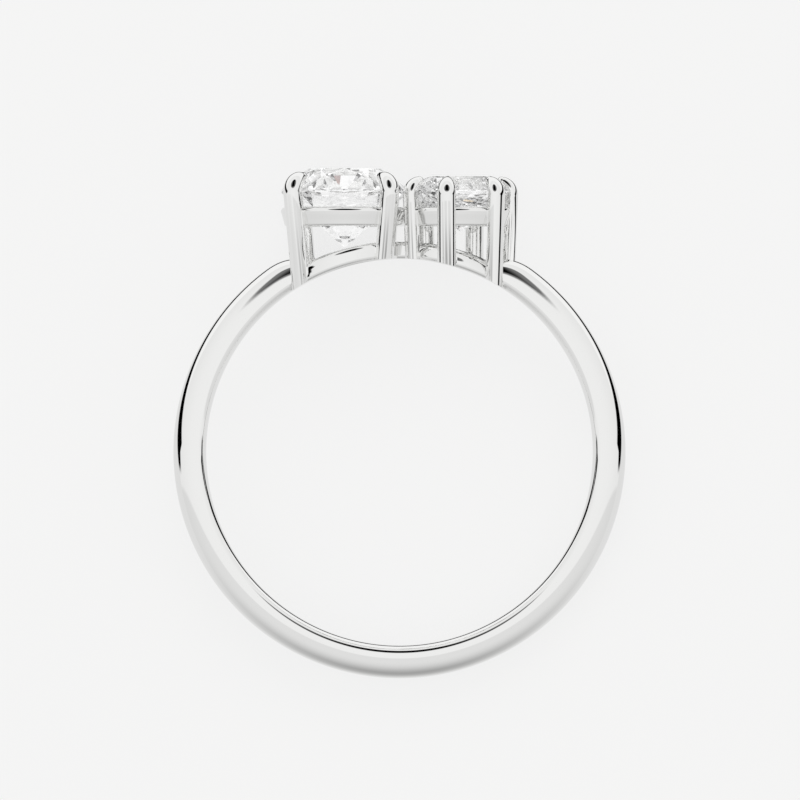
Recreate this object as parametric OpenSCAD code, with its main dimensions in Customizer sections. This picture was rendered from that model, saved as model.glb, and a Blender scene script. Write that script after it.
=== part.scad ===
// Toi et moi ring. A thin polished shank carries two open baskets side by side: a larger
// round one with four claws and a smaller oval one with six claws. A round brilliant and
// an oval stone sit in them. Sizes are in millimetres.
//
// The ring is drawn as it is worn: x to the right, y along the finger away from the
// viewer, z up through the stones, with the origin at the centre of the finger hole.
// The last module lays it on its side, as it comes to rest on a flat surface.

/* [Finger hole and shank] */
// Radius of the finger hole
bore_r = 8.25; // [7.8:0.05:9.2]
// Thickness of the shank from the finger hole out
shank_thick = 1.40; // [1.2:0.05:1.8]
// Width of the shank along the finger
shank_width = 1.80; // [1.5:0.05:2.1]
// Rounding of the two inner edges of the shank
inner_round = 0.30; // [0.1:0.02:0.36]

/* [Base of the baskets] */
// Thickness of the curved base over the finger hole
base_thick = 0.73; // [0.6:0.01:1]
// Width of each ring of the base
base_band = 0.60; // [0.45:0.05:0.8]
// Width of the bar that joins the two rings of the base
bridge_width = 1.50; // [1:0.1:2]

/* [Round stone] */
// Girdle radius of the round stone
round_r = 2.70; // [2.5:0.05:2.8]
// Height of its girdle over the top of the finger hole
round_seat = 2.82; // [2.7:0.02:3.1]
// Crown height of the round stone
round_crown = 0.90; // [0.75:0.05:1]
// Pavilion depth of the round stone
round_pavilion = 2.35; // [2.2:0.05:2.4]
// Thickness of its girdle
round_girdle = 0.14; // [0.12:0.01:0.2]

/* [Oval stone] */
// Half length of the oval stone
oval_a = 2.13; // [2:0.01:2.2]
// Half width of the oval stone
oval_b = 1.66; // [1.5:0.01:1.75]
// Height of its girdle over the top of the finger hole
oval_seat = 2.83; // [2.7:0.02:3.1]
// Crown height of the oval stone
oval_crown = 0.57; // [0.5:0.02:0.7]
// Pavilion depth of the oval stone
oval_pavilion = 1.66; // [1.5:0.02:1.8]
// Thickness of its girdle
oval_girdle = 0.11; // [0.1:0.01:0.15]

/* [Where the baskets stand] */
// Distance between the centres of the two stones, across the finger
head_gap = 4.94; // [4.88:0.01:5.02]
// Distance between them along the finger, with the oval stone nearer to the viewer
head_step = 0.80; // [0.6:0.02:1]
// Sideways place of the middle between the two stones
head_shift = 0.135; // [0:0.005:0.3]
// Turn of the oval stone, which takes its right end away from the viewer
oval_turn = 17.5; // [14:0.5:20]

/* [Claws] */
// Diameter of a claw of the round basket
round_claw_d = 0.82; // [0.7:0.02:0.86]
// Distance of those claws out from the girdle of the round stone
round_claw_out = 0.20; // [0.15:0.01:0.25]
// Lean of those claws from upright
round_claw_lean = 7; // [4:0.5:8]
// Height of their rounded ends over the girdle line
round_tip_rise = 0.44; // [0.36:0.01:0.5]
// Reach of a claw end over the round stone
round_tip_reach = 0.51; // [0.4:0.01:0.58]
// Radius of a claw end over the round stone
round_tip_r = 0.21; // [0.17:0.01:0.27]
// Width of a claw of the oval basket, measured along the girdle
oval_claw_w = 0.80; // [0.7:0.02:0.86]
// Thickness of a claw of the oval basket
oval_claw_t = 0.60; // [0.54:0.02:0.66]
// Distance of those claws out from the girdle of the oval stone
oval_claw_out = 0.13; // [0.1:0.01:0.16]
// Lean of those claws from upright
oval_claw_lean = 2.5; // [1:0.5:4]
// Height of their rounded ends over the girdle line
oval_tip_rise = 0.17; // [0.14:0.01:0.25]
// Radius of the knob at the top of those claws
oval_knob_r = 0.44; // [0.42:0.01:0.46]
// Reach of a claw end over the oval stone
oval_tip_reach = 0.27; // [0.2:0.01:0.34]
// Radius of a claw end over the oval stone
oval_tip_r = 0.20; // [0.16:0.01:0.26]

/* [Upper rails] */
// Height of the rails from bottom to top
rail_high = 0.82; // [0.7:0.01:0.9]
// Height of the bottom of the rails over the top of the finger hole
rail_up = 1.39; // [1.3:0.01:1.5]
// Width of the rails from outside to inside
rail_band = 0.62; // [0.5:0.02:0.65]
// Rounding of the upper outer edge of the rails
rail_round = 0.16; // [0.08:0.02:0.2]
// Rounding of the lower outer edge of the rails
rail_under = 0.24; // [0.12:0.02:0.3]

/* [Rest] */
// Direction, in the plane of the shank, in which the ring leans on its lower edge
rest_side = -65; // [-72:1:-54]

/* [Hidden] */

$fn = 96;

// Shares of a brilliant: table width, lower facet length, and steps in one girdle facet
table_share = 0.57;
oval_table_share = 0.60;
low_share = 0.77;
steps = 4;
// Rings of facet corners on the oval stone's pavilion, as shares of its girdle
oval_rings = [0.80, 0.54, 0.27];
// Power of the outward swell of that pavilion
oval_swell = 1.25;
// Clearance between a stone and the metal round it
seat_gap = 0.03;

// Claws of the round basket, as turns about the stone
round_claws = [-139, -49, 48, 131];
// Claws of the oval basket, as turns about the stone before the long axis is turned
oval_claws = [0, 60, 120, 180, 240, 300];
// Depth below the girdle line at which a claw is at its stated distance
claw_level = 0.13;
// Overlap that makes pieces of metal one solid
weld = 0.04;

outer_r = bore_r + shank_thick;
base_r = bore_r + base_thick;
dome_r = shank_width / 2;
round_x = head_shift - head_gap / 2;
round_y = head_step / 2;
oval_x = head_shift + head_gap / 2;
oval_y = -head_step / 2;
round_z = bore_r + round_seat;
oval_z = bore_r + oval_seat;
rail_z = bore_r + rail_up;
oval_claw_a = oval_a + oval_claw_out;
oval_claw_b = oval_b + oval_claw_out;
// Outlines of the rails and of the base, measured from the stones
round_rail_r = round_r + seat_gap;
oval_rail_a = oval_a + seat_gap;
oval_rail_b = oval_b + seat_gap;
base_in = 0.20;
base_round_r = round_rail_r - base_in;
base_oval_a = oval_rail_a - base_in / 2;
base_oval_b = oval_rail_b - base_in / 2;
// Height from which the uprights start, inside the finger hole that is cut last
foot_z = bore_r * 0.74;
// Space inside the baskets that the shank keeps out of
clear_in = 0.12;

// Points of a brilliant's crown and girdle on a unit circle: table corners, star points,
// upper girdle edge and lower girdle edge
function ring_points(r, z, n, turn) =
    [for (k = [0:n - 1]) [r * cos(360 / n * k + turn), r * sin(360 / n * k + turn), z]];
// Distance of a point of the girdle past the straight edge of its facet
function past_chord(i) = cos(i * 22.5 / steps - 11.25) - cos(11.25);
function girdle_points(z, slope) =
    [for (k = [0:15], i = [0:steps - 1])
        let (t = 22.5 * k + i * 22.5 / steps)
        [cos(t), sin(t), z - slope * past_chord(i)]];
// Rise of a facet from the straight edge of the girdle facet in to a point at radius r
function facet_slope(rise, r) = rise / (cos(11.25) * (1 - r));

function crown_points(crown, girdle, share) =
    let (rs = (share * cos(22.5) + 1) / 2,
         star_rise = (1 - rs * cos(22.5)) * crown / (1 - share))
    concat(ring_points(share, girdle + crown, 8, 0),
           ring_points(rs, girdle + star_rise, 8, 22.5),
           girdle_points(girdle, facet_slope(star_rise, rs)));

// Index of a point in each group: stars, upper girdle edge, lower girdle edge, pavilion
function star_at(k) = 8 + (k + 8) % 8;
function top_at(i) = 16 + i % (16 * steps);
function low_at(i) = 16 * (1 + steps) + i % (16 * steps);
function pav_at(i) = 16 * (1 + 2 * steps) + i;

crown_faces = concat(
    [[for (k = [7:-1:0]) k]],
    [for (k = [0:7]) [k, (k + 1) % 8, star_at(k)]],
    [for (k = [0:7]) [k, star_at(k), top_at(2 * steps * k), star_at(k - 1)]],
    [for (k = [0:7]) concat([star_at(k)],
        [for (i = [steps:-1:0]) top_at(2 * steps * k + i)])],
    [for (k = [0:7]) concat([star_at(k)],
        [for (i = [2 * steps:-1:steps]) top_at(2 * steps * k + i)])],
    [for (j = [0:16 * steps - 1]) [low_at(j), top_at(j), top_at(j + 1), low_at(j + 1)]]);

// Pavilion of the round brilliant: eight main facets and sixteen lower facets
function classic_points(depth) =
    let (r = 1 - low_share, drop = (1 - r * cos(22.5)) * depth)
    concat(girdle_points(0, -facet_slope(drop, r)),
           ring_points(r, -drop, 8, 22.5), [[0, 0, -depth]]);
classic_faces = concat(
    [for (k = [0:7]) [pav_at(8), pav_at((k + 7) % 8), low_at(2 * steps * k), pav_at(k)]],
    [for (k = [0:7]) concat([pav_at(k)],
        [for (i = [0:steps]) low_at(2 * steps * k + i)])],
    [for (k = [0:7]) concat([pav_at(k)],
        [for (i = [steps:2 * steps]) low_at(2 * steps * k + i)])]);

// Pavilion of the oval stone: rings of small facets, each ring turned half a facet
function swell_depth(r, depth) = depth * (1 - pow(r, oval_swell));
function fine_points(depth) =
    let (r = oval_rings[0], drop = swell_depth(r, depth))
    concat(girdle_points(0, -drop / (cos(11.25) - r)),
           [for (m = [0:len(oval_rings) - 1])
               each ring_points(oval_rings[m], -swell_depth(oval_rings[m], depth), 16,
                                m % 2 == 0 ? 11.25 : 0)],
           [[0, 0, -depth]]);
function ring_at(m, j) = pav_at(16 * m + (j + 16) % 16);
fine_last = len(oval_rings) - 1;
fine_faces = concat(
    [for (j = [0:15]) concat([ring_at(0, j)], [for (i = [0:steps]) low_at(steps * j + i)])],
    [for (j = [0:15]) [ring_at(0, j - 1), low_at(steps * j), ring_at(0, j)]],
    [for (m = [0:fine_last - 1], j = [0:15]) let (s = m % 2)
        [ring_at(m + 1, j), ring_at(m, j - 1 + s), ring_at(m, j + s)]],
    [for (m = [0:fine_last - 1], j = [0:15]) let (s = m % 2)
        [ring_at(m + 1, j - s), ring_at(m, j), ring_at(m + 1, j + 1 - s)]],
    [for (j = [0:15]) [pav_at(16 * (fine_last + 1)), ring_at(fine_last, j - 1),
                       ring_at(fine_last, j)]]);

// The two stones with their girdle's lower edge at z = 0, grown by a clearance on request
module round_cut(grow) {
    translate([0, 0, -grow])
        scale([round_r + grow, round_r + grow, 1])
            polyhedron(concat(crown_points(round_crown, round_girdle + 2 * grow, table_share),
                              classic_points(round_pavilion)),
                       concat(crown_faces, classic_faces));
}

module oval_cut(grow) {
    translate([0, 0, -grow])
        scale([oval_a + grow, oval_b + grow, 1])
            polyhedron(concat(crown_points(oval_crown, oval_girdle + 2 * grow,
                                           oval_table_share),
                              fine_points(oval_pavilion)),
                       concat(crown_faces, fine_faces));
}

// Puts something made about a stone's axis into its basket
module at_round() {
    translate([round_x, round_y, 0]) children();
}

module at_oval() {
    translate([oval_x, oval_y, 0]) rotate(oval_turn) children();
}

// Flat-sided half round of the shank, with the distance from the finger's axis along x
module shank_outline() {
    straight = shank_thick - dome_r;
    intersection() {
        union() {
            translate([bore_r + straight, 0]) circle(dome_r);
            translate([bore_r - weld, -dome_r + inner_round])
                square([straight + weld, shank_width - 2 * inner_round]);
            translate([bore_r + inner_round, -dome_r])
                square([straight - inner_round, shank_width]);
            for (side = [-1, 1])
                translate([bore_r + inner_round, side * (dome_r - inner_round)])
                    circle(inner_round);
        }
        translate([bore_r - weld, -dome_r]) square([shank_thick + weld, shank_width]);
    }
}

// Shank: from inside the round basket down, round and up into the oval basket
module shank() {
    left_end = acos((round_x - round_rail_r / 2) / outer_r);
    right_end = acos((oval_x + oval_rail_a / 2) / outer_r);
    difference() {
        rotate([90, 0, 0])
            rotate([0, 0, left_end])
                rotate_extrude(angle = 360 - left_end + right_end) shank_outline();
        at_round() cylinder(r = base_round_r - clear_in, h = 2 * outer_r);
        at_oval() scale([base_oval_a - clear_in, base_oval_b - clear_in, 1])
            cylinder(r = 1, h = 2 * outer_r);
    }
}

module oval_disc(a, b) {
    scale([a, b]) circle(1);
}

// Base: two rings and a bar between them, bent round the finger
module base() {
    intersection() {
        rotate([90, 0, 0]) cylinder(r = base_r, h = 4 * bore_r, center = true);
        linear_extrude(2 * bore_r)
            difference() {
                union() {
                    at_round() circle(base_round_r);
                    at_oval() oval_disc(base_oval_a, base_oval_b);
                    translate([head_shift, 0]) rotate(-atan(head_step / head_gap))
                        square([head_gap, bridge_width], center = true);
                }
                at_round() circle(base_round_r - base_band);
                at_oval() oval_disc(base_oval_a - base_band, base_oval_b - base_band);
            }
    }
}

// Upper rail with its two outer edges rounded
module rail(outer) {
    translate([0, 0, rail_z])
        rotate_extrude()
            union() {
                translate([outer - rail_band, 0])
                    square([rail_band - rail_under, rail_high]);
                translate([outer - rail_under - weld, rail_under])
                    square([rail_under + weld, rail_high - rail_under - rail_round]);
                translate([outer - rail_under - weld, rail_under])
                    square([rail_under + weld - rail_round, rail_high - rail_under]);
                translate([outer - rail_round, rail_high - rail_round])
                    circle(rail_round);
                translate([outer - rail_under, rail_under]) circle(rail_under);
            }
}

module rails() {
    at_round() rail(round_rail_r);
    at_oval() scale([1, oval_rail_b / oval_rail_a, 1]) rail(oval_rail_a);
}

// Bent-in end of a claw: two balls of radius r0 and r1 with a taper between them, whose
// tops are level and which are reach apart
module claw_end(r0, r1, reach) {
    rise = r0 - r1;
    sphere(r0);
    rotate([0, -atan2(reach, rise), 0]) cylinder(r1 = r0, r2 = r1, h = norm([reach, rise]));
    translate([-reach, 0, rise]) sphere(r1);
}

// One claw of the round basket, leaning out along x from the stone's axis
module round_claw() {
    long = (round_z + round_tip_rise - foot_z) / cos(round_claw_lean);
    head_r = round_r + round_claw_out
           + (claw_level + round_tip_rise) * tan(round_claw_lean);
    translate([head_r, 0, round_z + round_tip_rise]) {
        rotate([0, 180 + round_claw_lean, 0]) cylinder(d = round_claw_d, h = long);
        claw_end(round_claw_d / 2, round_tip_r, round_tip_reach);
    }
}

// One claw of the oval basket, flatter, with a rounded knob a little wider than itself
module oval_claw() {
    long = (oval_z + oval_tip_rise - foot_z) / cos(oval_claw_lean);
    side = (oval_claw_w - oval_claw_t) / 2;
    translate([(claw_level + oval_tip_rise) * tan(oval_claw_lean), 0,
               oval_z + oval_tip_rise]) {
        rotate([0, 180 + oval_claw_lean, 0])
            linear_extrude(long)
                union() {
                    for (s = [-side, side]) translate([0, s]) circle(d = oval_claw_t);
                    square([oval_claw_t, 2 * side], center = true);
                }
        translate([oval_claw_t / 2 - oval_knob_r, 0, 0])
            claw_end(oval_knob_r, oval_tip_r, oval_tip_reach);
    }
}

// Direction square to the girdle of the oval stone at a turn of the table above
function oval_square_to(t) = atan2(sin(t) / oval_claw_b, cos(t) / oval_claw_a);

module claws() {
    at_round() for (t = round_claws) rotate(t) round_claw();
    at_oval()
        for (t = oval_claws)
            translate([oval_claw_a * cos(t), oval_claw_b * sin(t), 0])
                rotate(oval_square_to(t)) oval_claw();
}

// All the metal: one soldered solid, with the finger hole and the two seats cut from it
module worn_mounting() {
    difference() {
        union() {
            shank();
            base();
            rails();
            claws();
        }
        rotate([90, 0, 0]) cylinder(r = bore_r, h = 4 * bore_r, center = true);
        at_round() translate([0, 0, round_z]) round_cut(seat_gap);
        at_oval() translate([0, 0, oval_z]) oval_cut(seat_gap);
    }
}

// Lays the ring on its side. It touches the surface with the back corner of the round
// basket's base and with the shank's edge in the direction of rest_side, and the formula
// for the lean makes those two equally low.
module laid() {
    edge_r = bore_r + shank_thick - dome_r;
    corner_out = round_y + base_round_r;
    corner_up = sqrt(pow(bore_r, 2) - pow(round_x, 2));
    across = edge_r - round_x * cos(rest_side) - corner_up * sin(rest_side);
    lean = acos(dome_r / norm([across, corner_out])) - atan2(across, corner_out);
    lift = edge_r * sin(lean) + dome_r;
    slide = (outer_r - round_z - round_girdle - round_crown) / 2;
    translate([0, slide, lift])
        rotate(a = lean, v = [-sin(rest_side), cos(rest_side), 0])
            rotate([-90, 0, 0]) children();
}

module mounting() {
    color([0.88, 0.89, 0.90]) laid() worn_mounting();
}

module round_stone() {
    color([0.93, 0.96, 0.98]) laid() at_round() translate([0, 0, round_z]) round_cut(0);
}

module oval_stone() {
    color([0.93, 0.96, 0.98]) laid() at_oval() translate([0, 0, oval_z]) oval_cut(0);
}

mounting();
round_stone();
oval_stone();
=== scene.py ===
"""Toi et moi ring: the polished mounting is modelled here round the fixed CAD model, whose two
stones stay as they are and get their material. Sizes are in millimetres in worn axes, as a
jeweller draws the ring: x to the right, y along the finger away from the viewer, z up through
the stones, origin at the centre of the finger hole. LAID takes them to the frame, in metres."""
import math

import bmesh
import bpy
import numpy as np
from mathutils import Matrix, Vector


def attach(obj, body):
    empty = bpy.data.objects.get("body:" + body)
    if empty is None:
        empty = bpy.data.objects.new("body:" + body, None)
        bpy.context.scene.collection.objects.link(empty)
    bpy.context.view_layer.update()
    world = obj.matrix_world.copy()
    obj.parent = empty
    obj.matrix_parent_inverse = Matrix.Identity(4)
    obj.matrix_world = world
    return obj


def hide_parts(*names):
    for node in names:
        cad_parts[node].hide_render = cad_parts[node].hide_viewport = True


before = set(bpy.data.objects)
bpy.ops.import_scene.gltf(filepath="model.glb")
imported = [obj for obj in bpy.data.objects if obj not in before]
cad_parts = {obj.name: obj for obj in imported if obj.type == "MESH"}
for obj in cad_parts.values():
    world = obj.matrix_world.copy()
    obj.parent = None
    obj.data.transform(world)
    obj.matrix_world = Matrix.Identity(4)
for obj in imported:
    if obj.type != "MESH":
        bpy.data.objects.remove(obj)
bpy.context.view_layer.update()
ROOT = "root"
MM = 0.001

# Finger hole and shank: a full dome outside, long roundings into the hole, and ends that
# fall off towards the claws. The ends' shares say how far they reach into the baskets.
BORE_R = 8.25
SHANK_THICK = 1.40
HALF_WIDTH = 0.90
DOME_FULL = 2.5
INNER_DEEP = 0.34
INNER_WIDE = 0.52
END_ROUND = 1.50
END_DROP = 0.42
LEFT_END = 0.75
RIGHT_END = 0.83
OUTER_R = BORE_R + SHANK_THICK

# The two stones and where they stand
ROUND_R = 2.70
ROUND_CROWN = 0.90
ROUND_GIRDLE = 0.14
OVAL_A = 2.13
OVAL_B = 1.66
ROUND_XY = (-2.335, 0.40)
OVAL_XY = (2.605, -0.40)
OVAL_TURN = math.radians(17.5)
ROUND_Z = BORE_R + 2.82
OVAL_Z = BORE_R + 2.83
SEAT_GAP = 0.03
SEAT_CUT = 0.025

# Base of the baskets. Each ring of it is set in from the stone and has its own upper edge.
BASE_THICK = 0.73
BASE_BAND = 0.60
BASE_LIP = 0.16
BASE_INNER_EDGE = 0.14
ROUND_BASE_EDGE = 0.22
OVAL_BASE_EDGE = 0.55
ROUND_BASE_IN = 0.20
OVAL_BASE_IN = 0.10
BRIDGE_WIDTH = 1.50
BRIDGE_EDGE = 0.20

# Upper rails, whose faces lean in towards their lower edge
RAIL_Z = BORE_R + 1.39
RAIL_HIGH = 0.82
RAIL_BAND = 0.62
RAIL_ROUND = 0.19
RAIL_UNDER = 0.14
RAIL_INNER = 0.06
RAIL_DRAFT = 0.14

# Claws: lean in degrees, distance out from the girdle, half the width along the girdle, half
# the thickness, radius at the tip, height of the bend over the girdle line, its radius and
# the angle that it turns to. The distance out is measured CLAW_LEVEL below the girdle line.
ROUND_CLAW = dict(lean=7, out=0.20, half_w=0.41, half_t=0.41, tip=0.21,
                  bend_z=0.03, bend_r=0.64, bend_to=80)
OVAL_CLAW = dict(lean=2.5, out=0.11, half_w=0.40, half_t=0.32, tip=0.20,
                 bend_z=-0.10, bend_r=0.63, bend_to=68)
ROUND_CLAWS = (-139, -49, 48, 131)
OVAL_CLAW_COUNT = 6
CLAW_LEVEL = 0.13
CLAW_LONG = 5.0
CLAW_FULL = 2.4

# Direction, in the plane of the shank, in which the ring leans on its lower edge
REST_SIDE = math.radians(-65)

# Height by which surfaces that would lie in each other are set apart
STEP = 0.006

# Numbers of points: over the shank's dome and at each of its inner edges, in a corner of the
# other sections, along the shank, round a basket's ring, along the bridge, round a claw,
# along its bend, over its tip and round the rod that cuts its foot
DOME_POINTS = 61
INNER_POINTS = 17
CORNER_POINTS = 9
SHANK_POINTS = 301
RING_POINTS = 144
BRIDGE_POINTS = 24
CLAW_POINTS = 48
BEND_POINTS = 25
TIP_POINTS = 10
ROD_POINTS = 360


def laid_matrix():
    """Takes worn axes in millimetres to the frame in metres: the ring on its side, resting on
    the round basket's base and on the far edge of the shank."""
    edge_r = OUTER_R - HALF_WIDTH
    corner_out = ROUND_XY[1] + ROUND_R + SEAT_GAP - ROUND_BASE_IN
    corner_up = math.sqrt(BORE_R ** 2 - ROUND_XY[0] ** 2)
    across = edge_r - ROUND_XY[0] * math.cos(REST_SIDE) - corner_up * math.sin(REST_SIDE)
    lean = (math.acos(HALF_WIDTH / math.hypot(across, corner_out))
            - math.atan2(across, corner_out))
    lift = edge_r * math.sin(lean) + HALF_WIDTH
    slide = (OUTER_R - ROUND_Z - ROUND_GIRDLE - ROUND_CROWN) / 2
    axis = Vector((-math.sin(REST_SIDE), math.cos(REST_SIDE), 0))
    return (Matrix.Scale(MM, 4)
            @ Matrix.Translation((0, slide, lift))
            @ Matrix.Rotation(lean, 4, axis)
            @ Matrix.Rotation(math.radians(-90), 4, "X"))


LAID = laid_matrix()

# Axes of the photograph in the frame
RIGHT = (LAID.to_3x3() @ Vector((1, 0, 0))).normalized()
UP = (LAID.to_3x3() @ Vector((0, 0, 1))).normalized()
TOWARDS = (LAID.to_3x3() @ Vector((0, -1, 0))).normalized()


def srgb(code):
    """The linear colour of an sRGB hex value."""
    parts = [int(code[i:i + 2], 16) / 255 for i in (1, 3, 5)]
    return [p / 12.92 if p <= 0.04045 else ((p + 0.055) / 1.055) ** 2.4 for p in parts] + [1.0]


def add(tree, kind, inputs=None, **settings):
    """Adds a node and gives its outputs. An input is a socket to link or a value to set."""
    node = tree.nodes.new(kind)
    for name, value in settings.items():
        setattr(node, name, value)
    for name, value in (inputs or {}).items():
        if isinstance(value, bpy.types.NodeSocket):
            tree.links.new(value, node.inputs[name])
        else:
            node.inputs[name].default_value = value
    return node.outputs


def arc(cx, cy, r, start, end, n):
    """Points of an arc, angles in degrees."""
    return [(cx + r * math.cos(math.radians(t)), cy + r * math.sin(math.radians(t)))
            for t in np.linspace(start, end, n)]


def spread(outline, n=3, least=0.1):
    """The outline with its straight stretches, longer than least, cut into n, so that the
    shading stays even."""
    out = []
    for a, b in zip(outline, outline[1:] + outline[:1]):
        out.append(a)
        if math.dist(a, b) > least:
            out += [tuple(np.add(a, np.subtract(b, a) * k / n)) for k in range(1, n)]
    return out


def closed_mesh(rings, caps):
    """Points and quads of a row of rings. With caps both ends are closed by a face, without
    them the last ring joins the first."""
    rings = np.asarray(rings, float)
    rows, around = rings.shape[:2]
    faces = []
    for i in range(rows - 1 if caps else rows):
        for j in range(around):
            a, b = i * around, (i + 1) % rows * around
            k = (j + 1) % around
            faces.append((a + j, a + k, b + k, b + j))
    if caps:
        faces.append(tuple(range(around))[::-1])
        faces.append(tuple((rows - 1) * around + j for j in range(around)))
    return rings.reshape(-1, 3), faces


def link_object(name, data):
    """An object of a mesh, camera or lamp, put in the scene."""
    obj = bpy.data.objects.new(name, data)
    bpy.context.scene.collection.objects.link(obj)
    return obj


def make_object(name, points, faces, place=LAID):
    """An object with its place in its mesh and its faces pointing outwards."""
    bm = bmesh.new()
    verts = [bm.verts.new(place @ Vector(p)) for p in points]
    for face in faces:
        bm.faces.new([verts[i] for i in face])
    bmesh.ops.recalc_face_normals(bm, faces=bm.faces)
    mesh = bpy.data.meshes.new(name)
    bm.to_mesh(mesh)
    bm.free()
    return link_object(name, mesh)


def shank_section():
    """Section of the shank as (distance from the finger hole, place along the finger)."""
    deep = SHANK_THICK - INNER_DEEP
    power = 2 / DOME_FULL
    outline = []
    for t in np.linspace(-math.pi / 2, math.pi / 2, DOME_POINTS):
        outline.append((INNER_DEEP + deep * max(math.cos(t), 0) ** power,
                        math.copysign(HALF_WIDTH * abs(math.sin(t)) ** power, t)))
    quarter = np.linspace(0, math.pi / 2, INNER_POINTS)
    for side, turns in ((1, quarter[1:]), (-1, quarter[:0:-1])):
        for t in turns:
            outline.append((INNER_DEEP * (1 - math.sin(t)),
                            side * (HALF_WIDTH - INNER_WIDE * (1 - math.cos(t)))))
    return outline


def shank():
    """Band open between the baskets."""
    outline = shank_section()
    first = math.acos((ROUND_XY[0] - (ROUND_R + SEAT_GAP) * LEFT_END) / OUTER_R)
    last = 2 * math.pi + math.acos((OVAL_XY[0] + (OVAL_A + SEAT_GAP) * RIGHT_END) / OUTER_R)
    rings = []
    for t in np.linspace(first, last, SHANK_POINTS):
        to_end = min(t - first, last - t) * OUTER_R
        short = max(1 - to_end / END_ROUND, 0)
        size = 1 - END_DROP * (1 - math.sqrt(1 - short ** 2))
        rings.append([((BORE_R + d * size) * math.cos(t), y, (BORE_R + d * size) * math.sin(t))
                      for d, y in outline])
    return make_object("shank", *closed_mesh(rings, caps=True))


def rounded_section(deep, high, low_edge, high_edge, inner_low, inner_high, draft=0.0):
    """Section with four rounded corners as (distance in from the outer face, height). The
    outer face leans in by draft towards its lower edge."""
    n = CORNER_POINTS
    return spread(arc(low_edge + draft, low_edge, low_edge, 180, 270, n)
                  + arc(deep - inner_low, inner_low, inner_low, 270, 360, n)
                  + arc(deep - inner_high, high - inner_high, inner_high, 0, 90, n)
                  + arc(high_edge, high - high_edge, high_edge, 90, 180, n))


def over_finger(x, height):
    """Height of the base, which follows the finger."""
    return math.sqrt((BORE_R + STEP + height) ** 2 - x ** 2)


def over_rail(x, height):
    """Height of the upper rails, which are level."""
    return RAIL_Z + height


def ring_round(name, centre, turn, half_x, half_y, section, height_at):
    """A round or oval ring of the given section about a stone's axis."""
    rings = []
    for t in np.linspace(0, 2 * math.pi, RING_POINTS, endpoint=False):
        ring = []
        for inset, height in section:
            a, b = (half_x - inset) * math.cos(t), (half_y - inset) * math.sin(t)
            x = centre[0] + a * math.cos(turn) - b * math.sin(turn)
            y = centre[1] + a * math.sin(turn) + b * math.cos(turn)
            ring.append((x, y, height_at(x, height)))
        rings.append(ring)
    return make_object(name, *closed_mesh(rings, caps=False))


def base():
    """Round and oval rings bent round the finger."""
    rings = []
    for name, centre, turn, half_x, half_y, set_in, edge in (
            ("round_base", ROUND_XY, 0.0, ROUND_R, ROUND_R, ROUND_BASE_IN, ROUND_BASE_EDGE),
            ("oval_base", OVAL_XY, OVAL_TURN, OVAL_A, OVAL_B, OVAL_BASE_IN, OVAL_BASE_EDGE)):
        section = rounded_section(BASE_BAND, BASE_THICK, BASE_LIP, edge, BASE_LIP,
                                  BASE_INNER_EDGE)
        rings.append(ring_round(name, centre, turn, half_x + SEAT_GAP - set_in,
                                half_y + SEAT_GAP - set_in, section, over_finger))
    return rings


def bridge():
    """Bar between the two rings of the base."""
    start, end = np.array(ROUND_XY), np.array(OVAL_XY)
    apart = np.linalg.norm(end - start)
    along = (end - start) / apart
    across = np.array([-along[1], along[0]])
    section = rounded_section(BRIDGE_WIDTH, BASE_THICK - STEP, BASE_LIP, BRIDGE_EDGE, BASE_LIP,
                              BRIDGE_EDGE)
    first = ROUND_R - BASE_BAND + ROUND_BASE_IN / 2
    last = apart - OVAL_B + ROUND_BASE_IN
    rings = []
    for s in np.linspace(first, last, BRIDGE_POINTS):
        ring = []
        for inset, height in section:
            x, y = start + along * s + across * (BRIDGE_WIDTH / 2 - inset)
            ring.append((x, y, over_finger(x, height)))
        rings.append(ring)
    return make_object("bridge", *closed_mesh(rings, caps=True))


def rails():
    """The upper rail of each basket."""
    section = rounded_section(RAIL_BAND, RAIL_HIGH, RAIL_UNDER, RAIL_ROUND, RAIL_INNER,
                              RAIL_INNER, RAIL_DRAFT)
    return [ring_round(name, centre, turn, half_x + SEAT_GAP, half_y + SEAT_GAP, section,
                       over_rail)
            for name, centre, turn, half_x, half_y in (
                ("round_rail", ROUND_XY, 0.0, ROUND_R, ROUND_R),
                ("oval_rail", OVAL_XY, OVAL_TURN, OVAL_A, OVAL_B))]


def claw(name, lean, out, half_w, half_t, tip, bend_z, bend_r, bend_to):
    """One claw that stands at the origin on the girdle line, with x pointing outwards: a long
    shaft, bent in over the stone to a smaller ball."""
    lean, end = math.radians(lean), math.radians(bend_to)
    angles = np.linspace(0, 2 * math.pi, CLAW_POINTS, endpoint=False)
    start_x = out + (bend_z + CLAW_LEVEL) * math.tan(lean)

    def spine(beta):
        return start_x - bend_r * (1 - math.cos(beta)), bend_z + bend_r * math.sin(beta)

    def ring(x, z, beta, thick, wide):
        return [(x + thick * math.cos(t) * math.cos(beta), wide * math.sin(t),
                 z + thick * math.cos(t) * math.sin(beta)) for t in angles]

    x, z = spine(-lean)
    rings = [ring(x - CLAW_LONG * math.sin(lean), z - CLAW_LONG * math.cos(lean), -lean, half_t,
                  half_w)]
    for beta in np.linspace(-lean, end, BEND_POINTS):
        size = (max(beta, 0) / end) ** CLAW_FULL
        rings.append(ring(*spine(beta), beta, half_t + (tip - half_t) * size,
                          half_w + (tip - half_w) * size))
    x, z = spine(end)
    for t in np.linspace(0, math.pi / 2, TIP_POINTS)[1:]:
        on = tip * math.sin(t)
        left = max(tip * math.cos(t), STEP)
        rings.append(ring(x - on * math.sin(end), z + on * math.cos(end), end, left, left))
    return make_object(name, *closed_mesh(rings, caps=True), place=Matrix.Identity(4))


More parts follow.
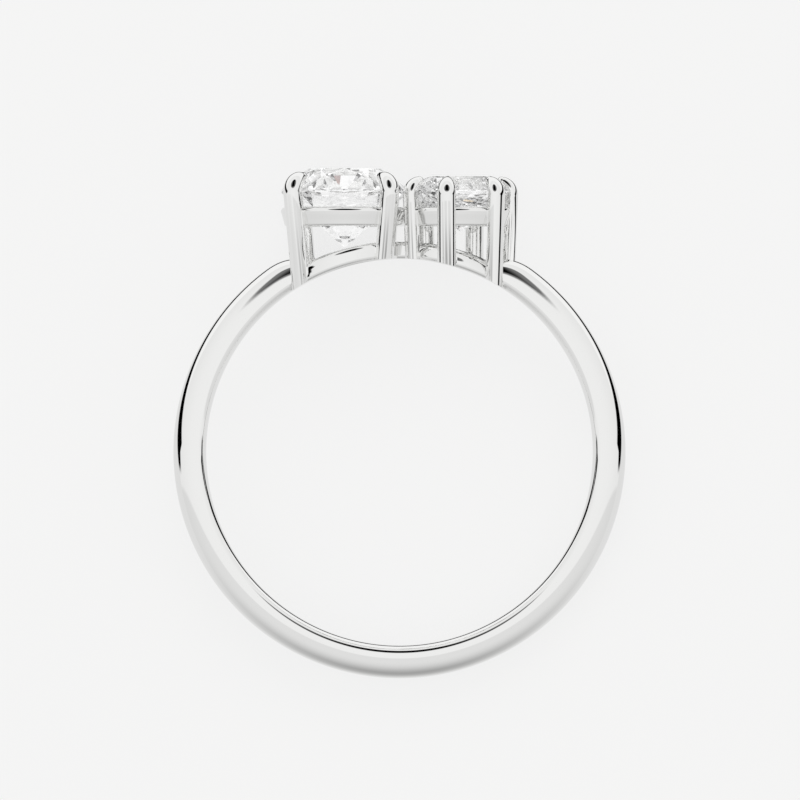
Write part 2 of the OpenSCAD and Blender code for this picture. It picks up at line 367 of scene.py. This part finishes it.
def claw_tree():
    """Geometry nodes that stand a claw on every point, turned as the point says."""
    tree = bpy.data.node_groups.new("claws_round_a_stone", "GeometryNodeTree")
    sockets = {}
    for name, kind in (("Points", "NodeSocketGeometry"), ("Claw", "NodeSocketObject"),
                       ("Metal", "NodeSocketMaterial")):
        sockets[name] = tree.interface.new_socket(name, in_out="INPUT", socket_type=kind)
    tree.interface.new_socket("Claws", in_out="OUTPUT", socket_type="NodeSocketGeometry")
    given = add(tree, "NodeGroupInput")
    turn = add(tree, "GeometryNodeInputNamedAttribute", {"Name": "turn"}, data_type="FLOAT")
    spin = add(tree, "ShaderNodeCombineXYZ", {"Z": turn["Attribute"]})
    shape = add(tree, "GeometryNodeObjectInfo", {"Object": given["Claw"]})
    stand = add(tree, "GeometryNodeInstanceOnPoints",
                {"Points": given["Points"], "Instance": shape["Geometry"], "Rotation": spin[0]})
    real = add(tree, "GeometryNodeRealizeInstances", {"Geometry": stand[0]})
    dressed = add(tree, "GeometryNodeSetMaterial",
                  {"Geometry": real[0], "Material": given["Metal"]})
    add(tree, "NodeGroupOutput", {"Claws": dressed[0]})
    return tree, sockets


def stand_claws(name, tree, sockets, shape, feet, gold):
    """A claw of the given shape at each foot (x, y, z, turn), as one object."""
    mesh = bpy.data.meshes.new(name + "_feet")
    mesh.from_pydata([foot[:3] for foot in feet], [], [])
    turns = mesh.attributes.new("turn", "FLOAT", "POINT")
    turns.data.foreach_set("value", [foot[3] for foot in feet])
    points = link_object(name + "_feet", mesh)
    nodes = points.modifiers.new("claws", "NODES")
    nodes.node_group = tree
    nodes[sockets["Claw"].identifier] = shape
    nodes[sockets["Metal"].identifier] = gold
    evaluated = points.evaluated_get(bpy.context.evaluated_depsgraph_get())
    claws = bpy.data.meshes.new_from_object(evaluated)
    claws.transform(LAID)
    bpy.data.objects.remove(points)
    bpy.data.objects.remove(shape)
    return link_object(name, claws)


def round_feet():
    """Where the round stone's claws meet its girdle."""
    feet = []
    for turn in (math.radians(t) for t in ROUND_CLAWS):
        feet.append((ROUND_XY[0] + ROUND_R * math.cos(turn),
                     ROUND_XY[1] + ROUND_R * math.sin(turn), ROUND_Z, turn))
    return feet


def oval_feet():
    """Where the oval stone's claws meet its girdle, at even steps round the oval on which
    their middles lie. Each stands square to that oval."""
    out = OVAL_CLAW["out"]
    half_a, half_b = OVAL_A + out, OVAL_B + out
    feet = []
    for t in np.linspace(0, 2 * math.pi, OVAL_CLAW_COUNT, endpoint=False):
        square = math.atan2(math.sin(t) / half_b, math.cos(t) / half_a)
        place = Vector((half_a * math.cos(t) - out * math.cos(square),
                        half_b * math.sin(t) - out * math.sin(square), OVAL_Z))
        place = Matrix.Rotation(OVAL_TURN, 3, "Z") @ place
        feet.append((OVAL_XY[0] + place.x, OVAL_XY[1] + place.y, place.z, square + OVAL_TURN))
    return feet


def finger():
    """A rod a little thicker than the finger hole, which cuts the claws' feet."""
    half = 8.0
    rings = []
    for y in (-half, half):
        rings.append([(x, y, z)
                      for x, z in arc(0, 0, BORE_R + 2 * STEP, 0, 360, ROD_POINTS + 1)[:-1]])
    return make_object("finger", *closed_mesh(rings, caps=True))


def stone_seat(node):
    """The stone's own mesh, made a little larger about its middle."""
    same_point = 1e-7
    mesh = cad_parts[node].data.copy()
    bm = bmesh.new()
    bm.from_mesh(mesh)
    bmesh.ops.remove_doubles(bm, verts=bm.verts, dist=same_point)
    middle = sum((v.co for v in bm.verts), Vector()) / len(bm.verts)
    for v in bm.verts:
        v.co += (v.co - middle).normalized() * SEAT_CUT * MM
    bm.to_mesh(mesh)
    bm.free()
    return link_object(node + "_seat", mesh)


def build_metal(gold):
    """The pieces soldered into one solid, with the claws' feet and the seats cut."""
    sharp = math.radians(35)
    tree, sockets = claw_tree()
    whole = stand_claws("round_claws", tree, sockets, claw("round_claw", **ROUND_CLAW),
                        round_feet(), gold)
    oval_claws = stand_claws("oval_claws", tree, sockets, claw("oval_claw", **OVAL_CLAW),
                             oval_feet(), gold)
    steps = [("UNION", oval_claws), ("DIFFERENCE", finger())]
    steps += [("UNION", piece) for piece in [bridge(), shank()] + base() + rails()]
    steps += [("DIFFERENCE", stone_seat(node)) for node in ("round_stone", "oval_stone")]
    for operation, tool in steps:
        step = whole.modifiers.new(operation, "BOOLEAN")
        step.operation = operation
        step.solver = "MANIFOLD"
        step.object = tool
    evaluated = whole.evaluated_get(bpy.context.evaluated_depsgraph_get())
    mesh = bpy.data.meshes.new_from_object(evaluated)
    for obj in [whole] + [tool for operation, tool in steps]:
        bpy.data.objects.remove(obj)
    metal = link_object("mounting_metal", mesh)
    mesh.materials.clear()
    mesh.materials.append(gold)
    mesh.shade_smooth()
    mesh.set_sharp_from_angle(angle=sharp)
    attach(metal, ROOT)
    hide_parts("mounting")


def empty_material(name):
    """A material and its node tree with nothing in it."""
    material = bpy.data.materials.new(name)
    material.use_nodes = True
    material.node_tree.nodes.clear()
    return material, material.node_tree


def white_gold():
    """18 carat white gold, rhodium plated and mirror polished: nearly white, with crisp
    reflections that the buffing wheel has left very slightly uneven. The marks of the wheel
    are a few hundredths of a millimetre apart and are drawn coarser, so that they show."""
    wheel_marks = 0.15 * MM
    mark_deep = 0.01 * MM
    worn_patches = 0.8 * MM
    material, tree = empty_material("rhodium_plated_white_gold")
    place = add(tree, "ShaderNodeTexCoord")["Object"]
    patches = add(tree, "ShaderNodeTexNoise",
                  {"Vector": place, "Scale": 1 / worn_patches, "Detail": 2.0})
    marks = add(tree, "ShaderNodeTexNoise",
                {"Vector": place, "Scale": 1 / wheel_marks, "Detail": 3.0})
    polish = add(tree, "ShaderNodeMapRange",
                 {"Value": patches[0], "From Min": 0.35, "From Max": 0.7, "To Min": 0.015,
                  "To Max": 0.05}, interpolation_type="SMOOTHSTEP")
    bump = add(tree, "ShaderNodeBump",
               {"Height": marks[0], "Strength": 0.02, "Distance": mark_deep})
    surface = add(tree, "ShaderNodeBsdfPrincipled",
                  {"Base Color": srgb("#F3F3F2"), "Metallic": 1.0, "Roughness": polish[0],
                   "Normal": bump[0]})
    add(tree, "ShaderNodeOutputMaterial", {"Surface": surface[0]})
    return material


def diamond():
    """Cut and polished diamond: colourless, high refraction, flat facets. Where a ray comes to
    the surface after four glossy bounces, the stone glows in small bright and grey patches:
    painted glints, which stand in for the many reflections of the facets in each other."""
    glint_patch_size = 0.22 * MM
    glint_bounces = 4
    material, tree = empty_material("polished_diamond")
    place = add(tree, "ShaderNodeTexCoord")["Object"]
    # Painted glints: the stone's own emission in small cells, bright in some and grey in others
    patches = add(tree, "ShaderNodeTexVoronoi", {"Vector": place, "Scale": 1 / glint_patch_size})
    patch = add(tree, "ShaderNodeSeparateColor", {"Color": patches["Color"]})["Red"]
    painted_glints = add(tree, "ShaderNodeMapRange",
               {"Value": patch, "From Min": 0.2, "From Max": 0.6, "To Min": 0.12,
                "To Max": 0.62}, interpolation_type="SMOOTHSTEP")[0]
    # The painted glints show only on rays that have made four glossy bounces
    turns = add(tree, "ShaderNodeLightPath")["Glossy Depth"]
    for side, limit in (("GREATER_THAN", glint_bounces - 0.5), ("LESS_THAN", glint_bounces + 0.5)):
        within = add(tree, "ShaderNodeMath", {0: turns, 1: limit}, operation=side)
        painted_glints = add(tree, "ShaderNodeMath", {0: painted_glints, 1: within[0]}, operation="MULTIPLY")[0]
    surface = add(tree, "ShaderNodeBsdfPrincipled",
                  {"Base Color": srgb("#FFFFFF"), "Roughness": 0.0, "IOR": 2.417,
                   "Transmission Weight": 1.0, "Emission Color": srgb("#FFFFFF"),
                   "Emission Strength": painted_glints})
    add(tree, "ShaderNodeOutputMaterial", {"Surface": surface[0]})
    return material


def pale_paper():
    """Uncoated white paper, evenly lit from below, so that the ring's shadow is faint. It is
    matt, and its own grey is dark because the light from below makes it pale."""
    material, tree = empty_material("pale_paper")
    surface = add(tree, "ShaderNodeBsdfPrincipled",
                  {"Base Color": srgb("#6E6E6D"), "Roughness": 0.9, "Specular IOR Level": 0.0,
                   "Emission Color": srgb("#FFFFFF"), "Emission Strength": 0.78})
    add(tree, "ShaderNodeOutputMaterial", {"Surface": surface[0]})
    return material


def build_stage():
    """A sheet of paper that the metal and the stones don't show, so that they show the tent."""
    half = 1.0
    corners = [(-half, -half, 0), (half, -half, 0), (half, half, 0), (-half, half, 0)]
    floor = make_object("floor", corners, [(0, 1, 2, 3)], place=Matrix.Identity(4))
    floor.data.materials.append(pale_paper())
    floor.visible_glossy = False
    floor.visible_transmission = False


def seen_through_stones(tree, ray):
    """What light that has passed through a stone comes from: white all round, with small dark
    things whose edges the stone splits into colours."""
    edge, soft, split = 0.11, 0.008, 0.003
    things = add(tree, "ShaderNodeTexVoronoi", {"Vector": ray, "Scale": 6.7})
    channels = {}
    for name, shift in (("Red", -split), ("Green", 0.0), ("Blue", split)):
        channels[name] = add(tree, "ShaderNodeMapRange",
                             {"Value": things["Distance"], "From Min": edge + shift - soft,
                              "From Max": edge + shift + soft, "To Min": 0.25,
                              "To Max": 1.02}, interpolation_type="SMOOTHSTEP")[0]
    return add(tree, "ShaderNodeCombineColor", channels)["Color"]


def build_world():
    """A white light tent as the polished metal mirrors it, by the direction of the ray: a
    bright sheet in front, greyer below the edge of the table, a dark opening over the camera
    and a dark slit where the front sheet ends."""
    opening_rise, opening_half_rise, opening_half_turn = 38.5, 23.0, 33.0
    slit_tilt = math.radians(24.6)
    slit_axis = UP * math.cos(slit_tilt) + TOWARDS * math.sin(slit_tilt)
    steepness = 5.0
    past_paper = (0.92, 0.92, 0.92, 1.0)

    world = bpy.data.worlds.new("light_tent")
    bpy.context.scene.world = world
    world.use_nodes = True
    tree = world.node_tree
    tree.nodes.clear()
    ray = add(tree, "ShaderNodeTexCoord")["Generated"]
    side, up, front, over_slit = (
        add(tree, "ShaderNodeVectorMath", {0: ray, 1: axis}, operation="DOT_PRODUCT")["Value"]
        for axis in (RIGHT, UP, TOWARDS, slit_axis))

    # Degrees round from the photograph's side, to left or right, and degrees up
    turn = add(tree, "ShaderNodeMath", {0: side, 1: front}, operation="ARCTAN2")
    turn = add(tree, "ShaderNodeMath", {0: turn[0]}, operation="ABSOLUTE")
    turn = add(tree, "ShaderNodeMath", {0: turn[0]}, operation="DEGREES")[0]
    rise = add(tree, "ShaderNodeMath", {0: up}, operation="ARCSINE")
    rise = add(tree, "ShaderNodeMath", {0: rise[0]}, operation="DEGREES")[0]

    # Distance from the middle of the opening, which is 1 at its edge
    high = add(tree, "ShaderNodeMath", {0: rise, 1: opening_rise}, operation="SUBTRACT")
    high = add(tree, "ShaderNodeMath", {0: high[0], 1: opening_half_rise}, operation="DIVIDE")
    wide = add(tree, "ShaderNodeMath", {0: turn, 1: opening_half_turn}, operation="DIVIDE")
    spot = add(tree, "ShaderNodeCombineXYZ", {"X": wide[0], "Y": high[0]})
    out = add(tree, "ShaderNodeVectorMath", {0: spot[0]}, operation="LENGTH")["Value"]

    # How far a direction points to the front, less so the further up it points
    above = add(tree, "ShaderNodeMath", {0: up, 1: 0.0}, operation="MAXIMUM")
    above = add(tree, "ShaderNodeMath", {0: above[0], 1: steepness}, operation="MULTIPLY")
    level = add(tree, "ShaderNodeMath", {0: front, 1: above[0]}, operation="SUBTRACT")[0]

    # Each row fades by one measure, from one value to another, between two lights
    light = {}
    for name, measure, low, high, start, end in (
            ("sheet", turn, 0, 80, 0.94, 0.88),
            ("table", rise, -10.5, -8.0, 0.865, 1.0),
            ("behind", over_slit, 0.16, 0.26, 0.80, 0.99),
            ("past_sheet", turn, 83, 86, 0.0, 1.0),
            ("ground", rise, -90, -20, 0.50, 1.0),
            ("opening", out, 0.88, 1.12, 0.0, 1.0),
            ("opening_foot", rise, 14, 25, 0.40, 0.0),
            ("opening_side", turn, 11, 26, 0.0, 0.20),
            ("slit", over_slit, -0.06, -0.03, 0.0, 1.0),
            ("slit_top", over_slit, 0.21, 0.25, 1.0, 0.0),
            ("slit_front", level, 0.30, 0.35, 1.0, 0.0),
            ("slit_foot", rise, -6, -3, 0.0, 1.0)):
        light[name] = add(tree, "ShaderNodeMapRange",
                          {"Value": measure, "From Min": low, "From Max": high,
                           "To Min": start, "To Max": end},
                          interpolation_type="SMOOTHSTEP")[0]

    # The rows together, each step taking in one more
    for name, taken, operation in (
            ("sheet", "table", "MULTIPLY"),
            ("opening", "opening_foot", "MAXIMUM"),
            ("opening", "opening_side", "MAXIMUM"),
            ("slit", "slit_top", "MULTIPLY"),
            ("slit", "slit_front", "MULTIPLY"),
            ("slit", "slit_foot", "MULTIPLY")):
        light[name] = add(tree, "ShaderNodeMath", {0: light[name], 1: light[taken]},
                          operation=operation)[0]
    beside_slit = add(tree, "ShaderNodeMath", {0: 1.0, 1: light["slit"]}, operation="SUBTRACT")
    mirrored = add(tree, "ShaderNodeMix",
                   {0: light["past_sheet"], 2: light["sheet"], 3: light["behind"]})[0]
    for share in (light["ground"], light["opening"], beside_slit[0]):
        mirrored = add(tree, "ShaderNodeMath", {0: mirrored, 1: share},
                       operation="MULTIPLY")[0]

    path = add(tree, "ShaderNodeLightPath")
    seen = add(tree, "ShaderNodeMix",
               {0: path["Is Transmission Ray"], 6: mirrored,
                7: seen_through_stones(tree, ray)}, data_type="RGBA")
    seen = add(tree, "ShaderNodeMix", {0: path["Is Camera Ray"], 6: seen[2], 7: past_paper},
               data_type="RGBA")
    background = add(tree, "ShaderNodeBackground", {"Color": seen[2]})
    add(tree, "ShaderNodeOutputWorld", {"Surface": background[0]})


def build_camera():
    """The photograph looks straight along the finger from far away, at a point a little above
    the middle of the finger hole. The picture is as wide as across, in millimetres."""
    across, away = 34.15, 600.0
    middle = Vector((0.0235, 0, 2.228))
    data = bpy.data.cameras.new("camera")
    data.sensor_width = 36.0
    data.lens = data.sensor_width * away / across
    data.clip_end = 10.0
    camera = link_object("camera", data)
    place = LAID @ (middle - Vector((0, away, 0)))
    turn = Matrix((RIGHT, UP, TOWARDS)).transposed().to_4x4()
    camera.matrix_world = Matrix.Translation(place) @ turn
    bpy.context.scene.camera = camera


def build_lights():
    """A large soft lamp on the side of the stones, for the faint shadow on the paper."""
    data = bpy.data.lights.new("soft_lamp", "AREA")
    data.shape = "DISK"
    data.size = 0.35
    data.energy = 0.5
    lamp = link_object("soft_lamp", data)
    lamp.location = (0.03, 0.35, 0.40)
    lamp.rotation_euler = lamp.location.to_track_quat("Z", "Y").to_euler()
    lamp.visible_glossy = False
    lamp.visible_transmission = False


bpy.context.scene.view_settings.view_transform = "Standard"
build_metal(white_gold())
stone_material = diamond()
for node in ("round_stone", "oval_stone"):
    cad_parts[node].data.materials.clear()
    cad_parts[node].data.materials.append(stone_material)
build_stage()
build_world()
build_camera()
build_lights()
